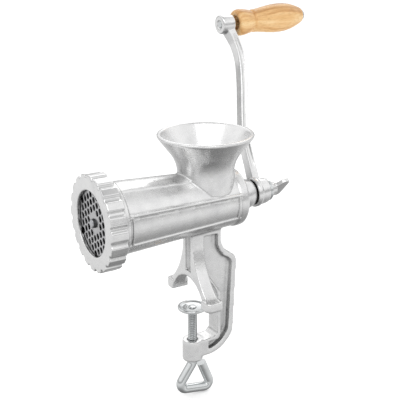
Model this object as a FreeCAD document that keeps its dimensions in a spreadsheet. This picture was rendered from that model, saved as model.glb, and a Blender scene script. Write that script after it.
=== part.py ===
import FreeCAD, Part
import math
import os
import re
import Sketcher
from FreeCAD import Placement, Rotation, Vector

# Hand crank meat grinder, millimetres, +Z up.
# Origin: where the clamp screw axis meets the plane of the two feet (the table top).
# The barrel lies along Y: its outlet faces -Y and the crank is at the +Y end.
# Most pieces are drawn in the barrel frame, whose origin is the centre of the ring nut's
# front face: y runs to the rear along the barrel axis and z is the height above that axis.

doc = FreeCAD.newDocument("MeatGrinder")
sheet = doc.addObject("Spreadsheet::Sheet", "Sizes")

SIZES = [
    # overall places
    ("axis_height", 88, "barrel axis above the table top"),
    ("face_to_screw", 95, "ring nut front face to clamp screw axis"),
    ("face_gap", 0.1, "gap between faces that only touch when tightened"),
    ("slide_fit", 0.1, "radial clearance of a thread or sliding fit"),
    ("running_fit", 0.08, "radial clearance of a turning fit"),
    ("press_fit", 0.02, "radial clearance of a pin that is fixed in its hole"),
    # ring nut
    ("ring_length", 15, "axial length"),
    ("ring_grip", 3.25, "overlap of the ring's lip and the plate"),
    ("ring_lip", 3.4, "thickness of the lip that holds the plate"),
    ("ring_wall", 5.5, "barrel thread to the valleys between the teeth"),
    ("ring_tooth_rise", 1.8, "height of a tooth"),
    ("ring_tooth_width", 8.2, "width of a tooth at its tip"),
    ("ring_tooth_count", 20, "teeth round the rim"),
    # hole plate
    ("plate_radius", 31, "62 mm plate"),
    ("plate_thickness", 5, ""),
    ("plate_hole_radius", 2.55, ""),
    ("plate_pitch", 6.6, "distance between neighbouring holes"),
    ("plate_hub_clear", 8, "no hole centre nearer the axis than this"),
    ("plate_edge_clear", 4, "no hole centre nearer the edge than this"),
    ("plate_proud", 1, "plate face ahead of the barrel mouth"),
    ("key_radius", 1.6, "peg that stops the plate from turning"),
    ("key_length", 8, ""),
    # knife
    ("knife_hub_radius", 9.5, ""),
    ("knife_length", 8, ""),
    ("knife_gap", 3.5, "blade tip short of the plate's edge"),
    ("knife_blade_width", 8, ""),
    ("knife_blade_depth", 4.5, ""),
    # casting: barrel
    ("collar_wall", 2.6, "wall of the barrel's mouth round the plate"),
    ("collar_length", 16.5, ""),
    ("collar_relief", 1.4, "depth of the run-out groove behind the thread"),
    ("barrel_front_radius", 30.5, ""),
    ("barrel_rear_radius", 24.5, ""),
    ("barrel_wall", 4.5, ""),
    ("barrel_end", 138, "ring face to the barrel's rear shoulder"),
    ("rear_wall", 10, ""),
    ("rear_band_width", 7, "raised band round the rear end"),
    ("band_rise", 1.1, "height of bands and beads above the barrel"),
    ("neck_radius", 14, "bearing neck at its root"),
    ("neck_tip_radius", 10.8, ""),
    ("neck_end", 156.4, "ring face to the end of the bearing neck"),
    ("top_strip_angle", 56, "arc covered by the strip along the top"),
    ("bead_angle", 6, ""),
    ("bead_tilt", 20, "bead above the horizontal"),
    ("ridge_angle", 3, ""),
    ("ridge_tilt", -30, "ridge below the horizontal"),
    # casting: hopper
    ("hopper_setback", 109, "ring face to hopper axis"),
    ("hopper_rim_height", 60, "rim above the barrel axis"),
    ("hopper_rim_radius", 41.2, ""),
    ("hopper_rim_bead", 1.75, ""),
    ("hopper_throat", 24.6, "outer radius of the throat"),
    ("hopper_wall", 3, ""),
    ("hopper_flare_start", 27, "height where the throat starts to flare"),
    ("hopper_flare_radius", 29.2, ""),
    ("hopper_flare_angle", 38, "slope of the bowl from the vertical"),
    # casting: stand
    ("stand_half_width", 8.5, ""),
    ("web_half_width", 3, ""),
    ("column_lead", 4.5, "front of the leg ahead of the clamp screw axis"),
    ("column_depth", 10.8, ""),
    ("throat_depth", 22, "clamp screw axis to the throat wall"),
    ("spine_depth", 19, "throat wall to the back of the spine"),
    ("rim_width", 5, "width of the spine's rear rim"),
    ("throat_rim", 3, "width of the rim round the throat"),
    ("arch_height", 21, "crown of the arch above the table"),
    ("foot_inner", 25.5, ""),
    ("foot_outer", 37.8, ""),
    ("foot_depth", 16.5, ""),
    ("foot_thickness", 8, ""),
    ("leg_flare_radius", 62, ""),
    ("leg_shoulder", 52, "height above the table where the leg starts to spread"),
    ("channel_depth", 3, "hollow in the front of the leg"),
    # clamp
    ("boss_radius", 9.2, ""),
    ("boss_top", 40.8, "top of the clamp boss below the table plane"),
    ("boss_length", 20, ""),
    ("rod_radius", 4.3, "clamp screw"),
    ("pad_radius", 13.2, ""),
    ("pad_height", 5.2, ""),
    ("pad_dish", 1.5, ""),
    ("pad_spigot", 2.4, "radius of the riveted end of the clamp screw"),
    ("pad_drop", 8, "top of the pad below the table plane, as shown"),
    ("eye_drop", 97.6, "lowest point of the eye below the table plane"),
    ("eye_neck", 4, "boss to the first bend of the eye"),
    ("eye_near", 17, "front corner of the eye from the screw axis"),
    ("eye_far", 20, "rear corner of the eye from the screw axis"),
    # auger and crank shaft
    ("bush_radius", 9, ""),
    ("bush_wall", 1.8, ""),
    ("thrust_radius", 13, ""),
    ("thrust_thickness", 1.5, ""),
    ("auger_play", 1, "between the flight and the bore"),
    ("auger_core_front", 10, ""),
    ("auger_core_rear", 13, ""),
    ("auger_pitch", 32, ""),
    ("flight_thickness", 4, ""),
    ("drive_square", 9, "square that turns the knife"),
    ("stud_radius", 3.8, ""),
    ("stud_face", 0.5, "tip of the stud behind the ring face"),
    ("tail_square", 10, "square that the crank fits on"),
    ("tail_thread", 4, "radius of the wing screw's thread"),
    # crank
    ("crank_tilt", 25, "arm from the vertical, towards -X"),
    ("hub_front_radius", 13.3, ""),
    ("hub_rear_radius", 11, ""),
    ("hub_length", 14.5, ""),
    ("arm_width", 9.5, ""),
    ("arm_depth", 7, ""),
    ("arm_throw", 155, "hub axis to grip boss"),
    ("arm_offset", 15, "how far the arm bends away from the barrel"),
    ("grip_boss_radius", 8.6, ""),
    ("grip_boss_face", 163.1, "ring face to the front of the grip boss"),
    ("grip_boss_length", 13.5, ""),
    ("grip_tilt", 1.9, "grip axis leans outwards"),
    # crank washer and wing screw
    ("washer_radius", 10, ""),
    ("washer_thickness", 2.6, ""),
    ("wing_seat_radius", 9, ""),
    ("wing_collar_radius", 6.6, ""),
    ("wing_collar_length", 6, ""),
    ("wing_reach", 13, "wing tip from the screw axis"),
    ("wing_length", 18, ""),
    ("wing_thickness", 3.6, ""),
    ("wing_turn", 135, "rest angle of the wings"),
    ("wing_shank", 14, "thread length in the tail"),
    # grip
    ("grip_gap", 3.4, "bare shank between boss and wood"),
    ("grip_length", 74, ""),
    ("grip_flare_radius", 12.1, ""),
    ("grip_neck_radius", 9.8, ""),
    ("grip_belly_radius", 13.2, ""),
    ("grip_tip_radius", 6, ""),
    ("grip_pin_radius", 3.2, ""),
    ("grip_recess_radius", 6, ""),
    ("grip_recess_depth", 5, ""),
    ("cap_radius", 5.6, "washer under the head of the grip bolt"),
    ("cap_thickness", 1.2, ""),
    # sizes that follow others
    ("ring_opening", "=plate_radius - ring_grip", "radius of the opening in front of the plate"),
    ("collar_radius", "=plate_radius + collar_wall", "threaded mouth of the barrel"),
    ("ring_valley", "=collar_radius + ring_wall", "radius between the teeth"),
    ("knife_reach", "=plate_radius - knife_gap", "blade tip radius"),
]

for row, (alias, number, note) in enumerate(SIZES, start=1):
    sheet.set("A%d" % row, alias)
    sheet.set("B%d" % row, str(number))
    sheet.setAlias("B%d" % row, alias)
    if note:
        sheet.set("C%d" % row, note)
doc.recompute()
NAMES = {alias for alias, number, note in SIZES}


# ---------------------------------------------------------------- helpers

def formula(text):
    """Turn bare size names into spreadsheet references."""
    def swap(word):
        return "Sizes." + word.group() if word.group() in NAMES else word.group()
    return re.sub(r"[A-Za-z_][A-Za-z_0-9]*", swap, str(text))


def size(text):
    """Value of a formula of size names."""
    return float(sheet.evalExpression(formula(text)))


def bind(item, **formulas):
    """Bind properties of an object; a double underscore stands for a dot."""
    for path, text in formulas.items():
        item.setExpression(path.replace("__", "."), formula(text))


def new_body(label, frame):
    """A body placed in one of the frames below."""
    body = doc.addObject("PartDesign::Body", label)
    body.Label = label
    frame(body)
    return body


def barrel_frame(body):
    bind(body, Placement__Base__y="-face_to_screw", Placement__Base__z="axis_height")


def turned_frame(body, angle):
    """The barrel frame turned about the barrel axis; +z leans towards -X by the angle."""
    body.Placement = Placement(Vector(), Rotation(Vector(0, -1, 0), size(angle)))
    bind(body, Placement__Rotation__Angle=angle)
    barrel_frame(body)


def crank_frame(body):
    """Local z runs up the crank arm; the two drive squares are in line with it."""
    turned_frame(body, "crank_tilt")


def wing_frame(body):
    """Local z runs along the wings."""
    turned_frame(body, "wing_turn")


def clamp_frame(body):
    """Origin on the table plane, z up the clamp screw."""


def origin_plane(body, role):
    return next(item for item in body.Origin.OriginFeatures if item.Role == role)


def attach(body, name, role, shift):
    sketch = body.newObject("Sketcher::SketchObject", name)
    sketch.AttachmentSupport = [(origin_plane(body, role), "")]
    sketch.MapMode = "FlatFace"
    for path, text in (shift or {}).items():
        bind(sketch, **{"AttachmentOffset__Base__" + path: text})
    return sketch


def arc_between(first, last, radius, side):
    """Minor arc from first to last; side 1 puts its centre left of the direction of travel."""
    chord = last - first
    middle = (first + last) * 0.5
    rise = math.sqrt(max(radius ** 2 - (chord.Length / 2) ** 2, 0.0))
    normal = Vector(-chord.y, chord.x, 0).normalize() * (rise * side)
    centre = middle + normal
    ends = (first, last) if side > 0 else (last, first)
    turn = [math.atan2(point.y - centre.y, point.x - centre.x) for point in ends]
    if turn[1] < turn[0]:
        turn[1] += 2 * math.pi
    return Part.ArcOfCircle(Part.Circle(centre, Vector(0, 0, 1), radius), turn[0], turn[1])


def outline(body, name, role, corners, shift=None):
    """Closed sketch through corners (u, v) or (u, v, radius, side); the last two make the edge
    that leaves the corner an arc. Every coordinate and radius is bound to the sheet."""
    sketch = attach(body, name, role, shift)
    add_loop(sketch, name, corners)
    return sketch


def add_loop(sketch, name, corners):
    points = [Vector(size(corner[0]), size(corner[1]), 0) for corner in corners]
    edges = []
    for number, corner in enumerate(corners):
        first = points[number]
        last = points[(number + 1) % len(points)]
        if len(corner) == 2:
            edges.append((sketch.addGeometry(Part.LineSegment(first, last)), 1, 2))
            continue
        arc = arc_between(first, last, size(corner[2]), corner[3])
        start = 1 if corner[3] > 0 else 2
        edges.append((sketch.addGeometry(arc), start, 3 - start))
    for number, (edge, start, end) in enumerate(edges):
        after, after_start, _ = edges[(number + 1) % len(edges)]
        sketch.addConstraint(Sketcher.Constraint("Coincident", edge, end, after, after_start))
    for number, (edge, start, end) in enumerate(edges):
        corner = corners[number]
        hold(sketch, "%s_u%d" % (name, number), corner[0],
             Sketcher.Constraint("DistanceX", -1, 1, edge, start, points[number].x))
        hold(sketch, "%s_v%d" % (name, number), corner[1],
             Sketcher.Constraint("DistanceY", -1, 1, edge, start, points[number].y))
        if len(corner) > 2:
            hold(sketch, "%s_r%d" % (name, number), corner[2],
                 Sketcher.Constraint("Radius", edge, size(corner[2])))


def add_circle(sketch, name, u, v, radius):
    circle = Part.Circle(Vector(size(u), size(v), 0), Vector(0, 0, 1), size(radius))
    edge = sketch.addGeometry(circle)
    hold(sketch, name + "_u", u, Sketcher.Constraint("DistanceX", -1, 1, edge, 3, size(u)))
    hold(sketch, name + "_v", v, Sketcher.Constraint("DistanceY", -1, 1, edge, 3, size(v)))
    hold(sketch, name + "_r", radius, Sketcher.Constraint("Radius", edge, size(radius)))


def hold(sketch, name, text, constraint):
    """Add a named driving constraint and bind it to its formula."""
    index = sketch.addConstraint(constraint)
    sketch.renameConstraint(index, name)
    if formula(text) != str(text):
        sketch.setExpression("Constraints." + name, formula(text))


def turned(body, name, corners, axis="H_Axis", cut=False, angle=360, shift=None, tilt=None, lean=None):
    """Revolve an outline of the YZ plane about its own horizontal or vertical axis. Tilt turns the
    outline about its horizontal axis, and lean turns it in its own plane."""
    sketch = outline(body, name + "_outline", "YZ_Plane", corners, shift)
    if tilt or lean:
        turn = Rotation(Vector(1, 0, 0) if tilt else Vector(0, 0, 1), size(tilt or lean))
        sketch.AttachmentOffset = Placement(sketch.AttachmentOffset.Base, turn)
    kind = "PartDesign::Groove" if cut else "PartDesign::Revolution"
    feature = body.newObject(kind, name)
    feature.Profile = sketch
    feature.ReferenceAxis = (sketch, [axis])
    if angle == 360:
        feature.Angle = 360
    else:
        feature.Midplane = True
        bind(feature, Angle=angle)
    return checked(body, feature, cut)


def padded(body, name, sketch, length, cut=False, midplane=True, reverse=False):
    """Pad or pocket a sketch by a length formula."""
    feature = body.newObject("PartDesign::Pocket" if cut else "PartDesign::Pad", name)
    feature.Profile = sketch
    feature.Midplane = midplane
    feature.Reversed = reverse
    bind(feature, Length=length)
    return checked(body, feature, cut)


def polar(body, feature, name, axis_role, count):
    """Repeat a feature round an origin axis of its body."""
    pattern = body.newObject("PartDesign::PolarPattern", name)
    pattern.Originals = [feature]
    pattern.Axis = (origin_plane(body, axis_role), [""])
    pattern.Angle = 360
    bind(pattern, Occurrences=count)
    body.Tip = pattern
    return checked(body, pattern, False)


def mirrored(body, features, name, role, cut=False):
    """Mirror features across an origin plane of their body."""
    mirror = body.newObject("PartDesign::Mirrored", name)
    mirror.Originals = features
    mirror.MirrorPlane = (origin_plane(body, role), [""])
    body.Tip = mirror
    return checked(body, mirror, cut)


def checked(body, feature, cut):
    """Recompute, and refuse a feature that does not add or remove material."""
    before = volumes.get(body.Name, 0.0)
    doc.recompute()
    after = feature.Shape.Volume
    if (after >= before - 1e-6) if cut else (after <= before + 1e-6):
        raise RuntimeError("%s.%s does nothing: %.3f to %.3f" % (body.Label, feature.Label, before, after))
    volumes[body.Name] = after
    return feature


volumes = {}    # volume of each body after its last feature


# ---------------------------------------------------------------- places along the barrel axis

PLATE_FACE = "ring_lip + face_gap"
PLATE_BACK = "ring_lip + face_gap + plate_thickness"
MOUTH = "ring_lip + face_gap + plate_proud"
COLLAR_END = MOUTH + " + collar_length"
KNIFE_FACE = PLATE_BACK + " + face_gap"
KNIFE_BACK = KNIFE_FACE + " + knife_length"
CORE_FRONT = KNIFE_BACK + " + face_gap"
CHAMBER_END = "barrel_end - rear_wall"
THRUST_FACE = CHAMBER_END + " - face_gap - thrust_thickness"
CORE_BACK = THRUST_FACE + " - face_gap"
HUB_FACE = "neck_end + 0.6"
HUB_BACK = HUB_FACE + " + hub_length"
WASHER_BACK = HUB_BACK + " + face_gap + washer_thickness"
WING_SEAT = WASHER_BACK + " + face_gap"


def barrel_radius(place):
    """Outer radius of the tapered barrel at a place along its axis."""
    return ("(barrel_front_radius + (barrel_rear_radius - barrel_front_radius) * "
            "((%s) - (%s)) / (barrel_end - (%s)))" % (place, COLLAR_END, COLLAR_END))


# ---------------------------------------------------------------- body casting

def stand_side(body):
    """Side view of the leg, spine and clamp arm as one plate as wide as the leg."""
    front = "face_to_screw - column_lead"
    wall = "face_to_screw + throat_depth"
    back = "face_to_screw + throat_depth + spine_depth"
    corners = [
        (front, "-20"),
        (front, "-axis_height + arch_height", "throat_depth + column_lead", -1),
        (wall, "-axis_height + arch_height - throat_depth - column_lead"),
        (wall, "-axis_height - boss_top + 6", "6", -1),
        (wall + " - 6", "-axis_height - boss_top"),
        ("face_to_screw + boss_radius - 3", "-axis_height - boss_top - 0.5"),
        ("face_to_screw", "-axis_height - boss_top - 0.5"),
        ("face_to_screw", "-axis_height - boss_top - boss_length + 4"),
        ("face_to_screw + boss_radius", "-axis_height - boss_top - boss_length + 4", "30", 1),
        (back + " - 3", "-axis_height - boss_top + 4"),
        (back, "-axis_height + 26", "11", 1),
        (back + " - 8", "-axis_height + 39.5", "22", -1),
        (back + " - 16", "-axis_height + 52"),
        (back + " - 16", "-20"),
    ]
    sketch = outline(body, "stand_outline", "YZ_Plane", corners)
    return padded(body, "stand", sketch, "2 * stand_half_width")


def stand_recess(body):
    """Hollows in both flanks of the stand, leaving a web with a rim round it."""
    column_back = "face_to_screw - column_lead + column_depth"
    wall = "face_to_screw + throat_depth + throat_rim"
    back = "face_to_screw + throat_depth + spine_depth - rim_width"
    corners = [
        (column_back, "-29"),
        (column_back, "-axis_height + 30"),
        (wall, "-axis_height + 2"),
        (wall, "-axis_height - boss_top + 2", "5", -1),
        (wall + " - 6", "-axis_height - boss_top - 3"),
        ("face_to_screw + boss_radius + 3", "-axis_height - boss_top - 3"),
        ("face_to_screw + boss_radius + 3", "-axis_height - boss_top - 10.5", "26", 1),
        (back + " - 3", "-axis_height - boss_top + 6"),
        (back, "-axis_height + 24", "10", 1),
        (back + " - 6.5", "-axis_height + 36", "24", -1),
        (back + " - 14.5", "-axis_height + 49"),
        (back + " - 14.5", "-29"),
    ]
    sketch = outline(body, "recess_outline", "YZ_Plane", corners, {"z": "stand_half_width"})
    cut = padded(body, "recess", sketch, "stand_half_width - web_half_width", cut=True, midplane=False)
    return mirrored(body, [cut], "recess_both", "YZ_Plane", cut=True)


def legs(body):
    """Front view of one side of the leg: a column that spreads into an arched leg."""
    foot_top = "-axis_height + foot_thickness"
    shoulder = "-axis_height + leg_shoulder"
    corners = [
        ("0", "-20"),
        ("stand_half_width", "-20"),
        ("stand_half_width", shoulder, "leg_flare_radius", 1),
        ("foot_outer - 7", foot_top + " + 2"),
        ("foot_outer - 1", foot_top),
        ("foot_outer - 1", "-axis_height"),
        ("foot_inner", "-axis_height"),
        ("foot_inner", "-axis_height + 3", "foot_inner + 2", 1),
        ("0", "-axis_height + arch_height"),
    ]
    sketch = outline(body, "leg_outline", "XZ_Plane", corners, {"z": "-(face_to_screw - column_lead)"})
    leg = padded(body, "leg", sketch, "column_depth + 1", midplane=False, reverse=True)
    return mirrored(body, [leg], "legs", "YZ_Plane")


def feet(body):
    """Flat feet that stand on the table, one on each side of the clamp screw."""
    back = "face_to_screw - column_lead - 1.5 + foot_depth"
    front = "face_to_screw - column_lead - 1.5"
    corners = [
        ("foot_inner", front),
        ("foot_outer - 5", front, "5", 1),
        ("foot_outer", front + " + 5"),
        ("foot_outer", back + " - 5", "5", 1),
        ("foot_outer - 5", back),
        ("foot_inner", back),
    ]
    sketch = outline(body, "foot_outline", "XY_Plane", corners, {"z": "-axis_height"})
    foot = padded(body, "foot", sketch, "foot_thickness", midplane=False)
    return mirrored(body, [foot], "feet", "YZ_Plane")


def leg_channel(body):
    """Straight hollow down the front of the leg, ending above the arch."""
    half = "stand_half_width - 3.7"
    bottom = "-axis_height + arch_height + 5"
    corners = [
        ("-(%s)" % half, "-27"),
        (half, "-27"),
        (half, bottom),
        ("-(%s)" % half, bottom),
    ]
    sketch = outline(body, "channel_outline", "XZ_Plane", corners,
                     {"z": "-(face_to_screw - column_lead)"})
    padded(body, "channel", sketch, "channel_depth", cut=True, midplane=False)


def strip(body, name, start, end, angle, tilt):
    """Raised strip along the barrel, covering an arc; tilt is its mid angle from straight up."""
    corners = [
        (start, barrel_radius(start) + " - 2"),
        (start, barrel_radius(start) + " + band_rise"),
        (end, barrel_radius(end) + " + band_rise"),
        (end, barrel_radius(end) + " - 2"),
    ]
    return turned(body, name, corners, angle=angle, tilt=tilt)


def body_casting():
    body = new_body("body_casting", barrel_frame)
    band_start = "barrel_end - rear_band_width"
    turned(body, "barrel", [
        (MOUTH, "0"),
        (MOUTH, "collar_radius"),
        (COLLAR_END + " - 4.5", "collar_radius"),
        (COLLAR_END + " - 4.5", "collar_radius - collar_relief"),
        (COLLAR_END + " - 3.3", "collar_radius - collar_relief"),
        (COLLAR_END + " - 3.3", "collar_radius"),
        (COLLAR_END, "collar_radius"),
        (COLLAR_END, "barrel_front_radius"),
        (band_start, barrel_radius(band_start)),
        (band_start, barrel_radius(band_start) + " + band_rise"),
        ("barrel_end", "barrel_rear_radius + band_rise"),
        ("barrel_end + 1.5", "barrel_rear_radius - 1"),
        ("barrel_end + 5", "neck_radius", "24", -1),
        ("neck_end", "neck_tip_radius"),
        ("neck_end", "0"),
    ])
    flare_r = "hopper_throat + hopper_flare_radius * (1 - cos(hopper_flare_angle * 1deg))"
    flare_z = "hopper_flare_start + hopper_flare_radius * sin(hopper_flare_angle * 1deg)"
    inner_r = flare_r + " - hopper_wall * cos(hopper_flare_angle * 1deg)"
    inner_z = flare_z + " + hopper_wall * sin(hopper_flare_angle * 1deg)"
    turned(body, "hopper", [
        ("0", "2"),
        ("hopper_throat", "2"),
        ("hopper_throat", "hopper_flare_start", "hopper_flare_radius", -1),
        (flare_r, flare_z),
        ("hopper_rim_radius", "hopper_rim_height - 1.6", "hopper_rim_bead", 1),
        ("hopper_rim_radius - 1.6", "hopper_rim_height + 1.4"),
        ("0", "hopper_rim_height + 1.4"),
    ], axis="V_Axis", shift={"x": "hopper_setback"})
    stand_side(body)
    stand_recess(body)
    legs(body)
    feet(body)
    leg_channel(body)
    turned(body, "clamp_boss", [
        ("0", "-axis_height - boss_top"),
        ("boss_radius", "-axis_height - boss_top"),
        ("boss_radius", "-axis_height - boss_top - boss_length"),
        ("0", "-axis_height - boss_top - boss_length"),
    ], axis="V_Axis", shift={"x": "face_to_screw"})
    strip(body, "top_strip", COLLAR_END + " - 0.5", "hopper_setback - hopper_throat + 8", "top_strip_angle", "0")
    for side, word in ((1, "near"), (-1, "far")):
        strip(body, "bead_" + word, COLLAR_END + " - 0.5", band_start + " + 1", "bead_angle",
              "%d * (90 - bead_tilt)" % -side)
        strip(body, "ridge_" + word, COLLAR_END + " - 0.5", band_start + " + 1", "ridge_angle",
              "%d * (90 - ridge_tilt)" % -side)
    turned(body, "chamber", [
        (MOUTH + " - 1", "0"),
        (MOUTH + " - 1", "plate_radius + slide_fit"),
        (COLLAR_END + " - 1", "plate_radius + slide_fit"),
        (COLLAR_END + " - 1", "barrel_front_radius - barrel_wall"),
        (CHAMBER_END, barrel_radius(CHAMBER_END) + " - barrel_wall"),
        (CHAMBER_END, "bush_radius"),
        ("neck_end + 1", "bush_radius"),
        ("neck_end + 1", "0"),
    ], cut=True)
    turned(body, "bowl", [
        ("0", "0"),
        ("hopper_throat - hopper_wall - 1.5", "0"),
        ("hopper_throat - hopper_wall", "hopper_flare_start", "hopper_flare_radius + hopper_wall", -1),
        (inner_r, inner_z),
        ("hopper_rim_radius - hopper_wall", "hopper_rim_height + 1.4"),
        ("hopper_rim_radius - hopper_wall", "hopper_rim_height + 3"),
        ("0", "hopper_rim_height + 3"),
    ], axis="V_Axis", cut=True, shift={"x": "hopper_setback"})
    turned(body, "clamp_bore", [
        ("0", "-axis_height - boss_top + 1"),
        ("rod_radius + slide_fit", "-axis_height - boss_top + 1"),
        ("rod_radius + slide_fit", "-axis_height - boss_top - boss_length - 1"),
        ("0", "-axis_height - boss_top - boss_length - 1"),
    ], axis="V_Axis", cut=True, shift={"x": "face_to_screw"})
    key = attach(body, "key_seat_outline", "XZ_Plane", {"z": "-(%s)" % PLATE_FACE})
    add_circle(key, "key_seat", "0", "plate_radius", "key_radius")
    padded(body, "key_seat", key, "key_length", cut=True, midplane=False)
    return body


# ---------------------------------------------------------------- pieces on the barrel axis

def ring_nut():
    body = new_body("ring_nut", barrel_frame)
    turned(body, "ring", [
        ("0", "ring_opening"),
        ("0", "ring_valley - 1"),
        ("1", "ring_valley"),
        ("ring_length - 0.6", "ring_valley"),
        ("ring_length", "ring_valley - 0.6"),
        ("ring_length", "collar_radius + slide_fit"),
        ("ring_lip", "collar_radius + slide_fit"),
        ("ring_lip", "ring_opening"),
    ])
    tip = "ring_valley + ring_tooth_rise"
    sketch = outline(body, "tooth_outline", "XZ_Plane", [
        ("-ring_tooth_width / 2 - 0.8", "ring_valley - 1.5"),
        ("ring_tooth_width / 2 + 0.8", "ring_valley - 1.5"),
        ("ring_tooth_width / 2", tip + " - 0.8"),
        ("ring_tooth_width / 2 - 1", tip),
        ("-ring_tooth_width / 2 + 1", tip),
        ("-ring_tooth_width / 2", tip + " - 0.8"),
    ])
    tooth = padded(body, "tooth", sketch, "ring_length", midplane=False, reverse=True)
    polar(body, tooth, "teeth", "Y_Axis", "ring_tooth_count")
    return body


def hole_plate():
    body = new_body("hole_plate", barrel_frame)
    turned(body, "disc", [
        (PLATE_FACE, "stud_radius + running_fit"),
        (PLATE_FACE, "plate_radius"),
        (PLATE_BACK, "plate_radius"),
        (PLATE_BACK, "stud_radius + running_fit"),
    ])
    sketch = attach(body, "hole_outline", "XZ_Plane", {"z": "-(%s) + 1" % PLATE_FACE})
    pitch = size("plate_pitch")
    reach = size("plate_radius - plate_edge_clear")
    columns = int(reach / (pitch * math.cos(math.pi / 6)))
    for column in range(-columns, columns + 1):
        for half_row in range(-2 * columns - 2, 2 * columns + 3):
            across = column * pitch * math.cos(math.pi / 6)
            up = half_row * pitch / 2
            inside = size("plate_hub_clear") < math.hypot(across, up) < reach
            if inside and (column + half_row) % 2 == 0:
                add_circle(sketch, "hole%d_%d" % (column + columns, half_row + 2 * columns + 2),
                           "%d * plate_pitch * cos(30deg)" % column, "%d * plate_pitch / 2" % half_row,
                           "plate_hole_radius")
    padded(body, "holes", sketch, "plate_thickness + 2", cut=True, midplane=False)
    notch = attach(body, "notch_outline", "XZ_Plane", {"z": "-(%s) + 1" % PLATE_FACE})
    add_circle(notch, "notch", "0", "plate_radius", "key_radius + slide_fit")
    padded(body, "notch", notch, "plate_thickness + 2", cut=True, midplane=False)
    return body


def plate_key():
    """Steel peg in the mouth of the barrel that stops the plate from turning."""
    pin = doc.addObject("Part::Cylinder", "plate_key")
    pin.Placement = Placement(Vector(), Rotation(Vector(1, 0, 0), -90))
    bind(pin, Radius="key_radius", Height="key_length - plate_proud - face_gap",
         Placement__Base__y="-face_to_screw + " + MOUTH,
         Placement__Base__z="axis_height + plate_radius")
    return pin


def knife():
    body = new_body("knife", crank_frame)
    turned(body, "hub", [
        (KNIFE_FACE, "0"),
        (KNIFE_FACE, "knife_hub_radius"),
        (KNIFE_BACK, "knife_hub_radius - 1"),
        (KNIFE_BACK, "0"),
    ])
    sketch = outline(body, "blade_outline", "XZ_Plane", [
        ("-knife_blade_width / 2", "0"),
        ("knife_blade_width / 2", "0"),
        ("knife_blade_width / 2", "knife_reach * 0.6"),
        ("1", "knife_reach"),
        ("-knife_blade_width / 2", "knife_reach - 1"),
    ], {"z": "-(%s)" % KNIFE_FACE})
    blade = padded(body, "blade", sketch, "knife_blade_depth", midplane=False, reverse=True)
    polar(body, blade, "blades", "Y_Axis", "4")
    hole = outline(body, "square_outline", "XZ_Plane", square("drive_square / 2 + slide_fit"),
                   {"z": "-(%s) + 1" % KNIFE_FACE})
    padded(body, "square", hole, "knife_length + 2", cut=True, midplane=False)
    return body


def square(half):
    """Corners of a square about the origin."""
    return [("-(%s)" % half, "-(%s)" % half), (half, "-(%s)" % half), (half, half), ("-(%s)" % half, half)]


def auger():
    """Feed screw with a square spigot for the knife and a shank with a square tail."""
    body = new_body("auger", crank_frame)
    turned(body, "core", [
        (CORE_FRONT, "0"),
        (CORE_FRONT, "auger_core_front"),
        (CORE_BACK, "auger_core_rear"),
        (CORE_BACK, "bush_radius - bush_wall - running_fit"),
        (HUB_FACE, "bush_radius - bush_wall - running_fit"),
        (HUB_FACE, "0"),
    ])
    spigot = outline(body, "spigot_outline", "XZ_Plane", square("drive_square / 2"),
                     {"z": "-(%s)" % (KNIFE_FACE + " + 0.5")})
    padded(body, "spigot", spigot, "knife_length + 2", midplane=False, reverse=True)
    tail = outline(body, "tail_outline", "XZ_Plane", square("tail_square / 2"),
                   {"z": "-(%s)" % (HUB_FACE + " - 2")})
    padded(body, "tail", tail, "hub_length + 1", midplane=False, reverse=True)
    add_flight(body)
    turned(body, "tail_hole", [
        (HUB_BACK + " - wing_shank - 1", "0"),
        (HUB_BACK + " - wing_shank - 1", "tail_thread + slide_fit"),
        (HUB_BACK + " + 1", "tail_thread + slide_fit"),
        (HUB_BACK + " + 1", "0"),
    ], cut=True)
    turned(body, "stud_hole", [
        (KNIFE_FACE + " - 1", "0"),
        (KNIFE_FACE + " - 1", "stud_radius + press_fit"),
        (CORE_FRONT + " + 12", "stud_radius + press_fit"),
        (CORE_FRONT + " + 12", "0"),
    ], cut=True)
    return body


def add_flight(body):
    """Screw flight that follows the taper of the chamber."""
    front = CORE_FRONT + " + 1"
    length = "(%s) - (%s) - 2 - flight_thickness" % (CORE_BACK, CORE_FRONT)
    inner = "auger_core_front - 2"
    outer = "barrel_front_radius - barrel_wall - auger_play"
    sketch = outline(body, "flight_outline", "YZ_Plane", [
        (front, inner),
        (front + " + flight_thickness", inner),
        (front + " + flight_thickness * 0.8", outer),
        (front + " + flight_thickness * 0.2", outer),
    ])
    flight = body.newObject("PartDesign::AdditiveHelix", "flight")
    flight.Profile = sketch
    flight.ReferenceAxis = (sketch, ["H_Axis"])
    flight.Mode = 0
    flight.LeftHanded = True
    bind(flight, Pitch="auger_pitch", Height=length,
         Angle="-atan((barrel_front_radius - barrel_rear_radius) / (barrel_end - (%s)))" % COLLAR_END)
    checked(body, flight, False)
    return flight


def auger_stud():
    """Steel pin in the end of the auger that runs in the plate's centre hole."""
    body = new_body("auger_stud", barrel_frame)
    turned(body, "stud", [
        ("stud_face", "0"),
        ("stud_face", "stud_radius - 0.8"),
        ("stud_face + 0.8", "stud_radius"),
        (CORE_FRONT + " + 11.8", "stud_radius"),
        (CORE_FRONT + " + 11.8", "0"),
    ])
    return body


def ring_shape(label, frame, start, end, inner, outer):
    """Plain ring about the barrel axis."""
    body = new_body(label, frame)
    turned(body, "ring", [(start, inner), (start, outer), (end, outer), (end, inner)])
    return body


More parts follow.
